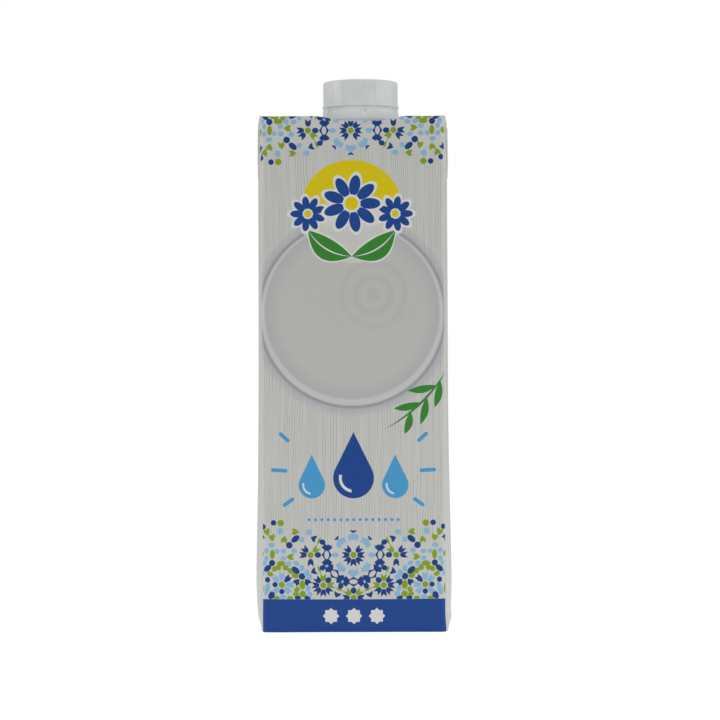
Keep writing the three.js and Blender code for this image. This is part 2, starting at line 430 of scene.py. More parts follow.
def zelligeTiles(side, row):
    tiles = innerTiles(side, row)
    place = joined(side.tree, side, row, 1.0)
    addOvals(tiles, place, outerTiles)
    addForks(tiles, place, forkTiles)
    outerX = side - zellige["outerX"]
    outerY = row - zellige["outerRow"]
    addRosette(tiles, outerX, outerY, zellige["outerPetal"], "sky", zellige["outerOthers"])
    return tiles


def rowPlace(v):  # inwards from the row of rosettes that is nearer
    upper = v > brick["height"] / 2
    return (zellige["upperRow"] - v) * upper + (v - zellige["lowerRow"]) * (1 - upper)


def laid(colour, ink, depth):
    return blended(colour, inks[ink], covers(depth))


def laidZellige(colour, x, v):
    upper = v > brick["height"] / 2
    row = rowPlace(v) + upper * x * (x * zellige["upperBow"] + zellige["upperTilt"])
    side = abs(x + zellige["shift"] + upper * zellige["upperShift"])
    for ink, depth in zelligeTiles(side, row).items():
        colour = laid(colour, ink, smaller(depth, row + zellige["depth"]))
    return colour


grain = {
    "pitch": 0.95, "thin": 0.3, "wander": 7.0, "acrossScale": 0.05, "upScale": 0.013,
    "fadeAcross": 0.6, "fadeUp": 0.02, "fadeSlice": 4.0, "fadeFrom": 0.25, "fadeTo": 0.6,
    "bareRow": -5.5, "bareHalf": 12.0, "bareSoft": 2.5,  # there is none under the mosaic
}


def grainLines(across, up):  # printed wood grain: wandering upright lines
    tree = across.tree
    place = joined(tree, across * grain["acrossScale"], up * grain["upScale"], 0.0)
    wander = noise(place, 1.0, 3.0) * grain["wander"]
    phase = across.maths("PINGPONG", across / grain["pitch"] + wander, 0.5)
    slip = joined(tree, across * grain["fadeAcross"], up * grain["fadeUp"], grain["fadeSlice"])
    fade = smoothStep(noise(slip, 1.0, 1.0), grain["fadeFrom"], grain["fadeTo"])
    return smoothStep(phase, grain["thin"], 0.0) * fade


milkDisc = {
    "x": -0.3, "v": 125.4, "radius": 36.6, "rim": 1.1,
    "innerV": 126.3, "innerRadius": 34.4, "innerSoft": 0.5,
    "rimShare": 0.8, "rimTone": 0.4,  # it darkens towards its rim
    "rippleX": 8.0, "rippleV": 133.0, "ripplePitch": 5.6, "rippleReach": 24.0, "rippleFull": 3.0,
    "waveTone": 0.2, "spotTone": 0.1,
    "shadow": 5.0, "shadowTone": 0.6,
}


def laidMilk(colour, x, v):  # a pale round field in a lighter rim, with ripples spreading from one point
    reach = distance(x - milkDisc["x"], v - milkDisc["v"])
    innerReach = distance(x - milkDisc["x"], v - milkDisc["innerV"])
    ripple = distance(x - milkDisc["rippleX"], v - milkDisc["rippleV"])
    wave = ripple.maths("SINE", ripple * (2 * math.pi / milkDisc["ripplePitch"]))
    fading = smoothStep(ripple, milkDisc["rippleReach"], milkDisc["rippleFull"])
    inner = milkDisc["innerRadius"]
    towardsRim = smoothStep(innerReach, inner * milkDisc["rimShare"], inner)
    tone = towardsRim * milkDisc["rimTone"] + wave * fading * milkDisc["waveTone"]
    tone = tone + fading * milkDisc["spotTone"]
    milk = blended(inks["milk"], inks["milkShade"], tone)
    shadow = smoothStep(reach, milkDisc["radius"] + milkDisc["shadow"], milkDisc["radius"])
    colour = blended(colour, inks["milkShade"], shadow * milkDisc["shadowTone"])
    colour = laid(colour, "milkRim", milkDisc["radius"] - reach)
    line = smoothStep(abs(reach - milkDisc["radius"]), milkDisc["rim"], 0.0)
    colour = blended(colour, inks["rim"], line)
    edge = smoothStep(innerReach, inner + milkDisc["innerSoft"], inner - milkDisc["innerSoft"])
    return blended(colour, milk, edge)


flower = {
    "x": -0.4, "v": 165.6, "field": 20.3, "fadeFrom": -9.0, "fadeTo": -1.0,
    "glow": 17.0, "glowUp": -4.0, "glowSquash": 1.25, "glowStart": 0.45,
    "up": 3.2, "petals": 9, "outline": 0.7,
}
bigFlower = {"petalAt": 7.2, "petalLength": 4.1, "petalBreadth": 2.15, "eye": 2.6, "eyeRing": 3.5}
sideFlower = {"petalAt": 4.3, "petalLength": 2.6, "petalBreadth": 1.4, "eye": 1.4, "eyeRing": 2.0}
sideFlowers = {"x": 17.2, "up": -0.8}
flowerLeaf = {"footY": -17.6, "turn": 31, "length": 20.0, "breadth": 8.4, "bend": -2.6, "vein": 0.28}


def laidBloom(colour, x, y, bloom):  # white-edged blue petals round a yellow eye
    along, aside = foldRound(x, y, flower["petals"])
    petal = oval(along - bloom["petalAt"], aside, bloom["petalLength"], bloom["petalBreadth"])
    colour = laid(colour, "white", petal + flower["outline"])
    colour = laid(colour, "navy", petal)
    colour = laid(colour, "white", disc(x, y, bloom["eyeRing"]))
    return laid(colour, "yellow", disc(x, y, bloom["eye"]))


def laidFlower(colour, x, v):  # three daisies over two leaves, on a round field, yellow fading to white
    flowerX = x - flower["x"]
    flowerY = v - flower["v"]
    glow = distance(flowerX, (flowerY - flower["glowUp"]) * flower["glowSquash"])
    outward = smoothStep(glow, flower["glow"] * flower["glowStart"], flower["glow"])
    field = blended(inks["white"], inks["yellow"], outward)
    field = blended(inks["board"], field, smoothStep(flowerY, flower["fadeFrom"], flower["fadeTo"]))
    colour = blended(colour, field, covers(disc(flowerX, flowerY, flower["field"])))
    leafX, leafY = turnedBy(abs(flowerX), flowerY - flowerLeaf["footY"], flowerLeaf["turn"])
    leaf = leafShape(leafX, leafY, flowerLeaf["length"], flowerLeaf["breadth"], flowerLeaf["bend"])
    colour = laid(colour, "white", leaf + flower["outline"])
    colour = laid(colour, "leaf", leaf)
    vein = leafShape(leafX, leafY, flowerLeaf["length"], flowerLeaf["vein"] * 2, flowerLeaf["bend"])
    colour = laid(colour, "white", vein)
    sideX = abs(flowerX) - sideFlowers["x"]
    colour = laidBloom(colour, sideX, flowerY - sideFlowers["up"], sideFlower)
    return laidBloom(colour, flowerX, flowerY - flower["up"], bigFlower)


drops = [  # ink, across, up, radius, height of the point
    ("navy", 0.0, 61.0, 8.0, 18.0), ("dash", -16.4, 58.2, 5.2, 12.0), ("dash", 16.4, 58.2, 5.2, 12.0),
]
glint = {"reach": 0.65, "half": 0.07, "left": 0.1, "top": 0.15}  # shares of the drop's radius


def laidDrops(colour, x, v):  # milk drops, each with a curved glint low on its left
    for ink, across, up, radius, apex in drops:
        dropX = x - across
        dropY = v - up
        colour = laid(colour, ink, dropShape(dropX, dropY, radius, apex))
        curve = glint["half"] * radius - abs(disc(dropX, dropY, glint["reach"] * radius))
        corner = smaller(dropX * -1 - glint["left"] * radius, glint["top"] * radius - dropY)
        colour = laid(colour, "white", smaller(curve, corner))
    return colour


dashes = [(27.2, 77.0, 42, 1.9), (29.2, 64.0, 3, 2.5), (25.6, 51.5, -36, 1.9)]  # out, up, slant, half length
dashHalf = 0.75  # half their breadth
dotRow = {"v": 44.6, "pitch": 2.5, "radius": 0.62, "reach": 18.2}


def laidSplash(colour, x, v):  # short dashes each side of the drops, and a dotted line under them
    side = abs(x)
    for out, up, slant, halfLength in dashes:
        dashX, dashY = turnedBy(side - out, v - up, slant)
        colour = laid(colour, "dash", dashShape(dashX, dashY, halfLength, dashHalf))
    nearest = x.maths("PINGPONG", x, dotRow["pitch"] / 2)
    dots = smaller(disc(nearest, v - dotRow["v"], dotRow["radius"]), dotRow["reach"] - side)
    return laid(colour, "dash", dots)


sprig = {"x": 37.5, "v": 104.5, "turn": 224, "length": 35.0, "stem": 0.9, "bend": 2.6,
         "leafBreadth": 2.9, "leafBend": 0.5}
sprigLeaves = [  # along, slant, length
    (6.0, 34, 11.0), (8.5, -34, 11.5), (14.5, 33, 11.0), (17.5, -32, 11.0), (23.0, 30, 9.0),
]


def laidSprig(colour, x, v):  # a curved stem with slim leaves, from the panel's right edge
    stemX, stemY = turnedBy(x - sprig["x"], v - sprig["v"], sprig["turn"])
    colour = laid(colour, "leaf", leafShape(stemX, stemY, sprig["length"], sprig["stem"], sprig["bend"]))
    for along, slant, length in sprigLeaves:
        share = along / sprig["length"]
        leafX, leafY = turnedBy(stemX - along, stemY - 4 * share * (1 - share) * sprig["bend"], slant)
        leaf = leafShape(leafX, leafY, length, sprig["leafBreadth"], sprig["leafBend"])
        colour = laid(colour, "leaf", leaf)
    return colour


baseBar = {"height": 13.4, "starPitch": 9.0, "star": 2.3, "v": 6.8}


def laidBaseBar(colour, x, v):  # plain bar along the foot, with three small eight-pointed stars
    colour = laid(colour, "navy", baseBar["height"] - v)
    starX = smaller(abs(x), abs(abs(x) - baseBar["starPitch"]))
    starY = abs(v - baseBar["v"])
    upright = baseBar["star"] - larger(starX, starY)
    slanted = baseBar["star"] * math.sqrt(2) - starX - starY
    return laid(colour, "white", larger(upright, slanted))


printMargin = {"width": 0.45, "slope": 0.035, "below": 60.0}  # bare strip left of the lower print
boardFinish = {
    "roughness": 0.42, "specular": 0.3, "edge": 0.02, "floor": 0.01, "sideShift": 120.0,
    "speck": 2.4, "speckFrom": 0.62, "speckTo": 0.8, "speckTone": 0.1, "dull": 0.36, "dullSpread": 0.16,
    "pulp": 1.1, "pulpDepth": 0.12, "pulpReach": 0.0004,
}


def printedBoard():
    finish = boardFinish
    material, tree, shader = newMaterial("printedBoard", finish["roughness"], finish["specular"])
    sheet = Wire.made(tree, "ShaderNodeAttribute", {"attribute_name": "sheet"}, None, "Vector")
    x, y, z = parted(sheet)
    onSide = abs(x) > halfWidth - finish["edge"]
    onBase = z < finish["floor"]
    v = z + halfDepth - abs(y)
    across = x * (1 - onSide) + (y + finish["sideShift"]) * onSide
    offMosaic = abs(rowPlace(v) - grain["bareRow"]) - grain["bareHalf"]
    shown = larger(onSide, smoothStep(offMosaic, -grain["bareSoft"], grain["bareSoft"]))
    lines = grainLines(across, z) * shown
    ground = blended(inks["board"], inks["grain"], lines)

    colour = laidMilk(ground, x, v)
    colour = laidFlower(colour, x, v)
    colour = laidDrops(colour, x, v)
    colour = laidSplash(colour, x, v)
    colour = laidSprig(colour, x, v)
    around = (y + halfDepth) * onSide  # how far round the side from the front
    colour = laidZellige(colour, x * (around / halfWidth + 1), v)
    colour = laidBaseBar(colour, x, v)
    bare = onSide * (around > (v > zellige["wrapFrom"]) * zellige["wrap"])
    margin = smaller(v * printMargin["slope"], printMargin["width"]) * (v < printMargin["below"])
    bare = larger(bare, x < margin - halfWidth)
    colour = blended(colour, ground, larger(bare, onBase))

    speck = noise(sheet, finish["speck"], 4.0)
    paler = smoothStep(speck, finish["speckFrom"], finish["speckTo"]) * finish["speckTone"]
    colour = blended(colour, inks["white"], paler)
    pulp = noise(sheet, finish["pulp"], 5.0)
    feed(shader, "Base Color", colour)
    feed(shader, "Roughness", speck * finish["dullSpread"] + finish["dull"])
    feed(shader, "Normal", bumped(pulp, finish["pulpDepth"], finish["pulpReach"]))
    return material


plastic = {"cloud": 90.0, "cloudFrom": 0.35, "cloudTo": 0.7, "shade": 0.93, "dullSpread": 0.14,
           "flow": 900.0, "flowDepth": 0.06, "flowReach": 0.0002}


def mouldedPlastic(name, code, roughness):
    material, tree, shader = newMaterial(name, roughness)
    place = Wire.made(tree, "ShaderNodeTexCoord", None, None, "Object")
    cloud = noise(place, plastic["cloud"], 3.0)
    flow = noise(place, plastic["flow"], 2.0)
    shaded = smoothStep(cloud, plastic["cloudFrom"], plastic["cloudTo"])
    feed(shader, "Base Color", blended(linear(code), linear(code, plastic["shade"]), shaded))
    feed(shader, "Roughness", cloud * plastic["dullSpread"] + (roughness - plastic["dullSpread"] / 2))
    feed(shader, "Normal", bumped(flow, plastic["flowDepth"], plastic["flowReach"]))
    return material


boardMaterial = printedBoard()
capMaterial = mouldedPlastic("capPlastic", "f3f6f5", 0.38)
# the tamper ring is the cap's plastic drawn paler, as painted light that brightens it
bandLitMaterial = mouldedPlastic("bandPlasticPaintedLight", "fdfefe", 0.42)
spoutMaterial = mouldedPlastic("spoutPlastic", "e6e9ea", 0.45)
print("materials made")


# Shape trees

def shapeTree(name, sizes):
    tree = bpy.data.node_groups.new(name, "GeometryNodeTree")
    tree.interface.new_socket("Geometry", in_out="INPUT", socket_type="NodeSocketGeometry")
    for label, value in sizes.items():
        kind = "NodeSocketInt" if isinstance(value, int) else "NodeSocketFloat"
        tree.interface.new_socket(label, in_out="INPUT", socket_type=kind)
    tree.interface.new_socket("Geometry", in_out="OUTPUT", socket_type="NodeSocketGeometry")
    source = tree.nodes.new("NodeGroupInput")
    return tree, {socket.name: Wire(tree, socket) for socket in source.outputs if socket.name}


def endTree(geometry, material):
    tree = geometry.tree
    smooth = Wire.made(tree, "GeometryNodeSetShadeSmooth", None, {"Geometry": geometry})
    whole = Wire.made(tree, "GeometryNodeRealizeInstances", None, {"Geometry": smooth})
    coated = Wire.made(tree, "GeometryNodeSetMaterial", None, {"Geometry": whole, "Material": material})
    sink = tree.nodes.new("NodeGroupOutput")
    tree.links.new(coated.socket, sink.inputs[0])


def newObject(name, mesh):
    piece = bpy.data.objects.new(name, mesh)
    bpy.context.scene.collection.objects.link(piece)
    return piece


def grown(name, tree, sizes, start=None):  # runs a shape tree and keeps its result as a plain mesh
    maker = newObject(name + "Maker", start or bpy.data.meshes.new(name + "Start"))
    modifier = maker.modifiers.new("shape", "NODES")
    modifier.node_group = tree
    for item in tree.interface.items_tree:
        if item.in_out == "INPUT" and item.name in sizes:
            modifier[item.identifier] = sizes[item.name]
    evaluated = maker.evaluated_get(bpy.context.evaluated_depsgraph_get())
    mesh = bpy.data.meshes.new_from_object(evaluated)
    mesh.name = name
    maker.modifiers.remove(modifier)
    bpy.data.objects.remove(maker)
    return newObject(name, mesh)


def finished(piece):  # keeps the result of a piece's modifiers as its plain mesh
    evaluated = piece.evaluated_get(bpy.context.evaluated_depsgraph_get())
    mesh = bpy.data.meshes.new_from_object(evaluated)
    piece.modifiers.clear()
    piece.data = mesh
    return piece


def dressed(piece, slot, *nodes):
    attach(piece, "root")
    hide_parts(*nodes)
    return piece


# The filled brick

def brickTree():
    tree, size = shapeTree("brickShape", {**brick, **brickGrid})
    counts = {"Vertices X": size["across"], "Vertices Y": size["deep"], "Vertices Z": size["up"]}
    cube = Wire.made(tree, "GeometryNodeMeshCube", None, {"Size": (2, 2, 2), **counts})
    start = parted(Wire.made(tree, "GeometryNodeInputPosition"))
    even = [part.maths("SINE", part * (math.pi / 2)) for part in start]  # lines crowd towards the creases
    half = [size["width"] / 2, size["depth"] / 2, size["height"] / 2]
    flat = [even[0] * half[0], even[1] * half[1], (even[2] + 1) * half[2]]

    # the trough under the spout, which the print follows
    narrowing = size["seatNarrow"] * smoothStep(flat[1] * -1, size["seatFront"], half[1])
    aside = abs(flat[0] - size["seatX"]) - size["seatWidth"] + narrowing
    behind = flat[1] - size["seatY"] - size["seatBack"]
    beside = 1 - smoothStep(aside, 0.0, size["seatBlend"])
    pressed = beside * (1 - smoothStep(behind, 0.0, size["seatBlend"]))
    rising = smoothStep(flat[2], size["height"] - size["seatReach"], size["height"])
    depth = size["seatDepth"] * pressed * rising
    sheet = joined(tree, flat[0], flat[1], flat[2] - depth)
    store = {"data_type": "FLOAT_VECTOR", "domain": "POINT"}
    marked = Wire.made(tree, "GeometryNodeStoreNamedAttribute", store,
                       {"Geometry": cube, "Name": "sheet", "Value": sheet})

    # round the creases
    upper = even[2] > 0
    radii = [size["upright"], size["upright"], size["top"] * upper + size["base"] * (1 - upper)]
    inner = [
        smaller(larger(flat[0], size["upright"] - half[0]), half[0] - size["upright"]),
        smaller(larger(flat[1], size["upright"] - half[1]), half[1] - size["upright"]),
        smaller(larger(flat[2], size["base"]), size["height"] - size["top"]),
    ]
    out = [(whole - core) / radius for whole, core, radius in zip(flat, inner, radii)]
    length = out[0].maths("SQRT", out[0] * out[0] + out[1] * out[1] + out[2] * out[2])
    way = [part / length for part in out]
    ripple = (noise(sheet, size["rippleScale"], 2.0) - 0.5) * size["ripple"] * 2
    x, y, z = [core + part * (radius + ripple) for core, part, radius in zip(inner, way, radii)]

    # swell the panels
    low = z / size["sagHeight"]
    fade = smoothStep(z, 0.0, size["baseFade"]) * smoothStep(size["height"] - z, 0.0, size["topFade"])
    bow = size["belly"] * fade + size["sag"] * low * low.maths("EXPONENT", 1 - low)
    across = x / half[0]
    along = y / half[1]
    bulge = 1 - along * along
    foot = size["footSpread"] * (1 - smoothStep(z, 0.0, size["footReach"])) * larger(across, 0.0)
    foot = foot * (bulge + (1 - bulge) * size["creaseShare"])
    swollenX = x + bow * across * bulge + foot
    swollenY = y + bow * size["frontShare"] * along * (1 - across * across)

    place = joined(tree, swollenX * mm, swollenY * mm, (z - depth) * mm)
    moved = Wire.made(tree, "GeometryNodeSetPosition", None, {"Geometry": marked, "Position": place})
    endTree(moved, boardMaterial)
    return tree


bakeRooms = {  # where each panel lies on the map that the print is stored through
    "front": (0.004, 0.004, 0.357, 0.996), "back": (0.363, 0.004, 0.716, 0.996),
    "left": (0.722, 0.004, 0.857, 0.66), "right": (0.863, 0.004, 0.996, 0.66),
    "top": (0.722, 0.666, 0.996, 0.828), "base": (0.722, 0.834, 0.996, 0.996),
}


def panelOf(places):  # the panel that a face lies on, with its two shares across and up
    spans = [max(p[i] for p in places) - min(p[i] for p in places) for i in range(3)]
    flatAxis = spans.index(min(spans))
    x, y, z = [sum(p[i] for p in places) / len(places) for i in range(3)]
    across = [p[0] / brick["width"] + 0.5 for p in places]
    deep = [p[1] / brick["depth"] + 0.5 for p in places]
    up = [p[2] / brick["height"] for p in places]
    if flatAxis == 0:
        return ("left" if x < 0 else "right"), zip(deep, up)
    if flatAxis == 1:
        return ("front" if y < 0 else "back"), zip(across, up)
    return ("base" if z < brick["height"] / 2 else "top"), zip(across, deep)


def addBakeMap(mesh):
    sheet = [tuple(item.vector) for item in mesh.attributes["sheet"].data]
    layer = mesh.uv_layers.new(name="OFBake")
    for face in mesh.polygons:
        panel, shares = panelOf([sheet[i] for i in face.vertices])
        left, low, right, high = bakeRooms[panel]
        for loop, (across, up) in zip(face.loop_indices, shares):
            layer.data[loop].uv = (left + across * (right - left), low + up * (high - low))


carton = grown("carton", brickTree(), {**brick, **brickGrid})
addBakeMap(carton.data)
dressed(carton, "printed_board", "carton")
print("brick:", len(carton.data.polygons), "faces")


# Folded board: ears, seals and the back seam

def ease(value, low, high):
    share = min(max((value - low) / (high - low), 0.0), 1.0)
    return share * share * (3 - 2 * share)


def swellAt(z):
    fade = ease(z, 0, brick["baseFade"]) * ease(brick["height"] - z, 0, brick["topFade"])
    low = z / brick["sagHeight"]
    return brick["belly"] * fade + brick["sag"] * low * math.exp(1 - low)


def topAt(x, y):  # height of the top panel
    aside = abs(x - brick["seatX"]) - brick["seatWidth"]
    behind = y - brick["seatY"] - brick["seatBack"]
    pressed = (1 - ease(aside, 0, brick["seatBlend"])) * (1 - ease(behind, 0, brick["seatBlend"]))
    return brick["height"] - brick["seatDepth"] * pressed


fold = {"bend": 0.4, "from": -0.6, "to": 3.0, "steps": 18, "edge": 0.3}  # board folded over a side's top edge


def spaced(low, high, count):
    return [low + (high - low) * i / count for i in range(count)]


foldSteps = spaced(fold["from"], fold["to"], fold["steps"])  # rows are closer together here


def overEdge(down, y, lift):  # a point so far down from a side's top edge, inside it where negative
    bend = fold["bend"]
    height = brick["height"]
    if down < -bend:
        return halfWidth + down, height + lift
    quarter = bend * math.pi / 2
    angle = min((down + bend) / bend, math.pi / 2)
    x = halfWidth - bend + (bend + lift) * math.sin(angle)
    z = height - bend + (bend + lift) * math.cos(angle) - max(down + bend - quarter, 0)
    return x + swellAt(z) * (1 - (y / halfDepth) ** 2), z


def pointRows(steps, columns, placed):  # rows of points, and of their places on the flat sheet
    rows = []
    sheetRows = []
    for step in steps:
        pairs = [placed(step, j / columns) for j in range(columns + 1)]
        rows.append([point for point, spot in pairs])
        sheetRows.append([spot for point, spot in pairs])
    return rows, sheetRows


def foldedSheet(name, rows, sheetRows, thickness):  # a board sheet through rows of points, in mm
    count = len(rows[0])
    mesh = bpy.data.meshes.new(name)
    points = [tuple(part * mm for part in point) for row in rows for point in row]
    faces = []
    for i in range(len(rows) - 1):
        for j in range(count - 1):
            corner = i * count + j
            faces.append((corner, corner + 1, corner + count + 1, corner + count))
    mesh.from_pydata(points, [], faces)
    attribute = mesh.attributes.new("sheet", "FLOAT_VECTOR", "POINT")
    for item, value in zip(attribute.data, [place for row in sheetRows for place in row]):
        item.vector = value
    mesh.materials.append(boardMaterial)
    piece = newObject(name, mesh)
    solid = piece.modifiers.new("thickness", "SOLIDIFY")
    solid.thickness = thickness * mm
    solid.offset = 1
    soft = piece.modifiers.new("edge", "BEVEL")
    soft.width = thickness * mm * fold["edge"]
    soft.segments = 2
    soft.limit_method = "ANGLE"
    finished(piece)
    piece.data.shade_smooth()
    return dressed(piece, "printed_board", "carton")


ear = {
    "inset": 2.4, "start": -4.5, "drop": 34.0, "tip": 3.0, "lift": 0.1, "thickness": 0.75,
    "stand": 1.25, "standFrom": -0.3, "standTo": 2.2, "sink": 0.45, "settle": 24.0,
    "topSteps": 4, "dropSteps": 31, "columns": 24,
}


def earLift(down, y):  # how far an ear's inner face stands off the side: most at the fold, sunk lower down
    hug = 1 - (y / halfDepth) ** 4
    stand = ear["stand"] - (ear["stand"] + ear["sink"]) * ease(down, 0, ear["settle"])
    folded = ease(down, ear["standFrom"], ear["standTo"])
    return ear["lift"] * (1 - folded) + stand * hug * folded


def earRows(side):
    def placed(down, share):
        narrowing = max(down, 0) / ear["drop"]
        half = (halfDepth - ear["inset"]) * (1 - narrowing) + ear["tip"] * narrowing
        y = half * (2 * share - 1) * side
        x, z = overEdge(down, y, earLift(down, y))
        return (side * x, y, z), (side * halfWidth, y, z)

    top = spaced(ear["start"], fold["from"], ear["topSteps"])
    drop = spaced(fold["to"], ear["drop"], ear["dropSteps"])
    return pointRows(top + foldSteps + drop + [ear["drop"]], ear["columns"], placed)


seal = {
    "front": 2.5, "back": 11.5, "drop": 22.0, "rise": 2.0, "lift": 0.1, "thickness": 0.5,
    "ridges": 4, "ridge": 0.06, "topSteps": 90, "dropSteps": 20, "columns": 24,
}


def sealRows():  # the pinched seam that crosses the top and folds down both ears
    def placed(along, share):
        down = abs(along) - halfWidth
        side = math.copysign(1, along)
        y = seal["front"] + (seal["back"] - seal["front"]) * share
        onEar = ease(down, ear["start"] - seal["rise"], ear["start"])
        lift = seal["lift"] + (earLift(down, y) + ear["thickness"]) * onEar
        lift += seal["ridge"] * math.cos(2 * math.pi * seal["ridges"] * share)
        x, z = overEdge(down, y, lift)
        z -= brick["height"] - topAt(along, y)
        flatX = along if down < 0 else side * halfWidth
        return (side * x, y, z), (flatX, y, min(z, brick["height"]))

    drop = spaced(fold["to"], seal["drop"], seal["dropSteps"])
    outside = [halfWidth + down for down in foldSteps + drop + [seal["drop"]]]
    reach = halfWidth + fold["from"]
    inside = spaced(-reach, reach, seal["topSteps"])
    left = [-place for place in reversed(outside)]
    return pointRows(left + inside[1:] + outside, seal["columns"], placed)


seam = {"x": -21.0, "breadth": 8.5, "foot": 1.5, "head": 200.5, "lift": 0.02, "thickness": 0.4,
        "steps": 110, "columns": 8}


def seamRows():  # the overlap down the back panel
    def placed(z, share):
        x = seam["x"] + seam["breadth"] * (0.5 - share)
        bulge = swellAt(z) * brick["frontShare"] * (1 - (x / halfWidth) ** 2)
        return (x, halfDepth + bulge + seam["lift"], z), (x, halfDepth, z)

    steps = spaced(seam["foot"], seam["head"], seam["steps"]) + [seam["head"]]
    return pointRows(steps, seam["columns"], placed)


for earName, earSide in (("left_ear", -1), ("right_ear", 1)):
    foldedSheet(earName, *earRows(earSide), ear["thickness"])
foldedSheet("top_seal", *sealRows(), seal["thickness"])
foldedSheet("back_seam", *seamRows(), seam["thickness"])
print("ears, seal and seam folded")


# Round pieces of the closure

def arc(middleR, middleZ, radius, start, end, steps=5):
    angles = [math.radians(start + (end - start) * i / steps) for i in range(steps + 1)]
    return [(middleR + radius * math.cos(a), middleZ + radius * math.sin(a)) for a in angles]


def lathed(name, profile, middle, segments=144):  # turns pairs of radius and height, in mm, about an axis
    points = []
    rings = []
    for radius, height in profile:
        if radius == 0:
            rings.append([len(points)] * segments)
            points.append((middle.x, middle.y, height * mm))
            continue
        rings.append([len(points) + i for i in range(segments)])
        for i in range(segments):
            angle = 2 * math.pi * i / segments
            x = middle.x + radius * mm * math.cos(angle)
            y = middle.y + radius * mm * math.sin(angle)
            points.append((x, y, height * mm))
    faces = []
    for low, high in zip(rings, rings[1:]):
        for i in range(segments):
            j = (i + 1) % segments
            corners = dict.fromkeys([low[i], low[j], high[j], high[i]])
            faces.append(list(corners))
    mesh = bpy.data.meshes.new(name)
    mesh.from_pydata(points, [], faces)
    return mesh


capLow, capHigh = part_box("cap")
bandLow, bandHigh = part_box("tamper_band")
spoutLow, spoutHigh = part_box("spout")
capMiddle = (capLow + capHigh) / 2

cap = {"radius": 14.9, "lip": 15.22, "lipHeight": 1.1, "lipEdge": 0.25, "bevel": 0.45,
       "rim": 0.6, "rimWidth": 2.2, "dish": 0.3, "dishSlope": 0.5}
ribs = {"count": 20, "ringRadius": 13.83, "thickness": 1.2, "foot": 1.2, "headroom": 1.0, "turn": 6.5,
        "sides": 12, "rings": 17, "blunt": 12.0, "tip": 0.02}


def capProfile():
    low = capLow.z / mm
    high = capHigh.z / mm
    edge = cap["lipEdge"]
    flat = cap["radius"] - cap["rimWidth"]
    return [
        (0, low),
        *arc(cap["lip"] - edge, low + edge, edge, -90, 0),
        *arc(cap["lip"] - edge, low + cap["lipHeight"] - edge, edge, 0, 60),
        (cap["radius"], low + cap["lipHeight"] + cap["bevel"]),
        *arc(cap["radius"] - cap["rim"], high - cap["rim"], cap["rim"], 0, 90, 8),
        (flat, high),
        (flat - cap["dishSlope"], high - cap["dish"]),
        (0, high - cap["dish"]),
    ]


def ribTree():  # adds upright ribs round the cap's skirt
    tree, size = shapeTree("capRibs", {**ribs, "low": 0.0, "high": 1.0, "middleX": 0.0, "middleY": 0.0})
    bottom = joined(tree, 0.0, 0.0, size["low"])
    top = joined(tree, 0.0, 0.0, size["high"])
    line = Wire.made(tree, "GeometryNodeCurvePrimitiveLine", None, {"Start": bottom, "End": top})
    fine = Wire.made(tree, "GeometryNodeResampleCurve", None, {"Curve": line, "Count": size["rings"]})
    along = Wire.made(tree, "GeometryNodeSplineParameter", None, None, "Factor") * 2 - 1
    taper = along.maths("SQRT", larger(1 - along ** size["blunt"], size["tip"]))
    sized = Wire.made(tree, "GeometryNodeSetCurveRadius", None, {"Curve": fine, "Radius": taper})
    section = Wire.made(tree, "GeometryNodeCurvePrimitiveCircle", None,
                        {"Resolution": size["sides"], "Radius": size["thickness"] * mm})
    bar = Wire.made(tree, "GeometryNodeCurveToMesh", None,
                    {"Curve": sized, "Profile Curve": section, "Fill Caps": True})
    ring = Wire.made(tree, "GeometryNodeMeshCircle", None,
                     {"Vertices": size["count"], "Radius": size["ringRadius"] * mm})
    spun = Wire.made(tree, "GeometryNodeTransform", None, {
        "Geometry": ring,
        "Translation": joined(tree, size["middleX"], size["middleY"], 0.0),
        "Rotation": joined(tree, 0.0, 0.0, size["turn"] * (math.pi / 180)),
    })
    placed = Wire.made(tree, "GeometryNodeInstanceOnPoints", None, {"Points": spun, "Instance": bar})
    whole = Wire.made(tree, "GeometryNodeJoinGeometry", None, {0: placed})
    tree.links.new(size["Geometry"].socket, whole.socket.node.inputs[0])
    endTree(whole, capMaterial)
    return tree


capSizes = {
    **ribs,
    "low": capLow.z + ribs["foot"] * mm, "high": capHigh.z - ribs["headroom"] * mm,
    "middleX": capMiddle.x, "middleY": capMiddle.y,
}
capPiece = grown("screw_cap", ribTree(), capSizes, lathed("capBody", capProfile(), capMiddle))
dressed(capPiece, "cap_plastic", "cap")
print("cap:", len(capPiece.data.polygons), "faces")

band = {
    "radius": 15.2, "bore": 12.8, "height": 3.7, "edge": 0.35, "footEdge": 0.2,
    "notches": 6, "notchWidth": 1.6, "notchDepth": 1.0, "notchReach": 0.6, "notchTurn": -84.0,
    "bridges": 12, "bridgeWidth": 1.1, "bridgeDepth": 1.0, "bridgeRadius": 14.25, "bridgeTurn": -69.0,
    "web": 15.0, "webGap": 0.12,  # thin wall behind the gap under the cap
}


def bandProfile():
    low = bandLow.z / mm
    high = low + band["height"]
    web = capLow.z / mm - band["webGap"]
    foot = band["footEdge"]
    return [
        (band["bore"], low),
        (band["radius"] - foot, low),
        *arc(band["radius"] - foot, low + foot, foot, -90, 0, 3),
        *arc(band["radius"] - band["edge"], high - band["edge"], band["edge"], 0, 90),
        (band["web"], high),
        (band["web"], web),
        (band["bore"], web),
        (band["bore"], low),
    ]


